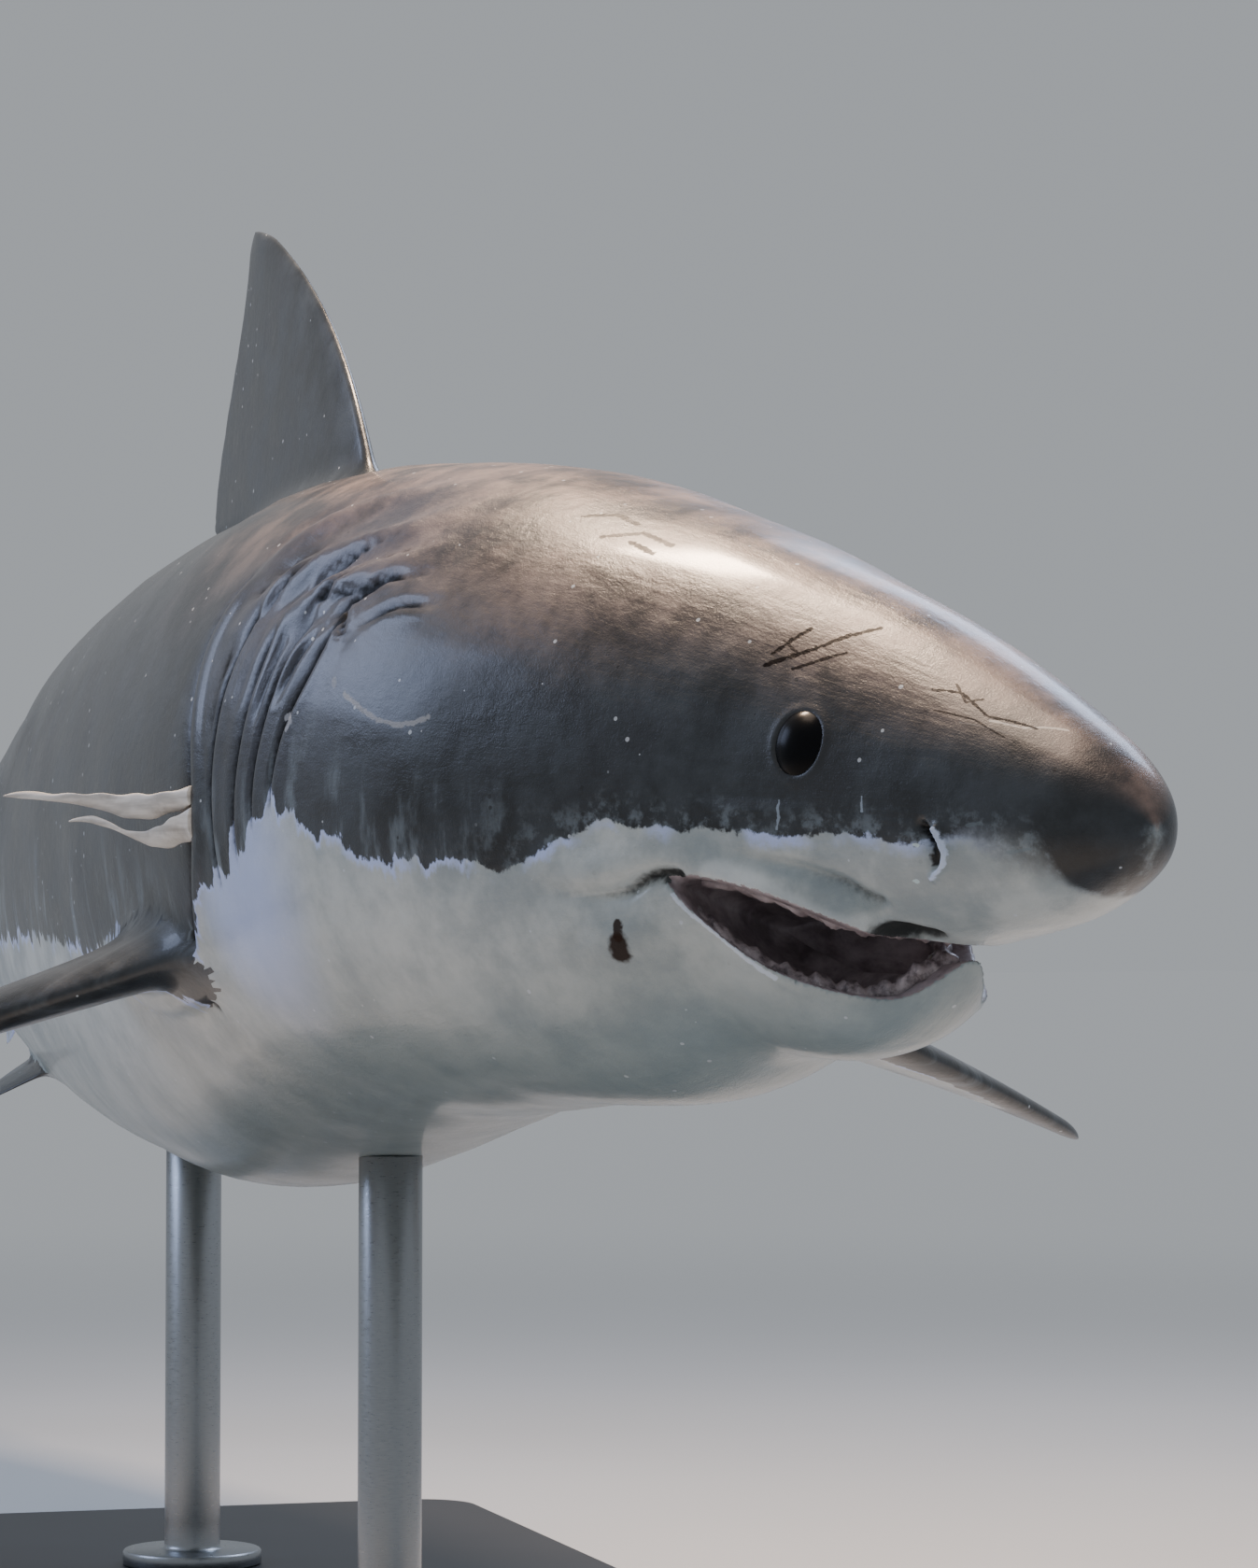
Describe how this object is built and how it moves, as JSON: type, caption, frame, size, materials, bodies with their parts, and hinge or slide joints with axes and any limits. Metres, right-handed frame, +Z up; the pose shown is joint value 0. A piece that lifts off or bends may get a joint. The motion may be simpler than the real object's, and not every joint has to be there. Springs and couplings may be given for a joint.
{
  "type": "great white shark",
  "caption": "Life-size great white shark, a still display model turning gently to its left, held over a flat base by two short rods.",
  "frame": {"origin": "on the floor, under the middle of the whole model's bounding box", "axes": "+X the way the snout points, +Y the shark's left, +Z up"},
  "size_m": [3.676, 1.5132, 1.4535],
  "materials": {
    "shark_skin": "wet satin, slate grey above and off-white below",
    "pale_skin": "wet satin off-white",
    "torn_skin": "matt, pale",
    "eye": "polished black",
    "tooth_enamel": "smooth ivory",
    "stand_paint": "powder coat, dark grey",
    "stand_steel": "brushed"
  },
  "bodies": {
    "root": {"head": "shark_skin", "lower_jaw": "pale_skin", "eye_left": "eye", "eye_right": "eye", "gill_region": "shark_skin", "trunk_front": "shark_skin", "trunk_rear": "shark_skin", "tail_stock": "shark_skin", "dorsal_first": "shark_skin", "dorsal_second": "shark_skin", "anal_fin": "pale_skin", "pectoral_left": "shark_skin", "pelvic_left": "pale_skin", "pectoral_right": "shark_skin", "pelvic_right": "pale_skin", "caudal_upper": "shark_skin", "caudal_lower": "shark_skin", "skin_strip_upper": "torn_skin", "skin_strip_lower": "torn_skin", "stand_base": "stand_paint", "stand_rod_front": "stand_steel", "stand_rod_rear": "stand_steel"}
  },
  "joints": []
}
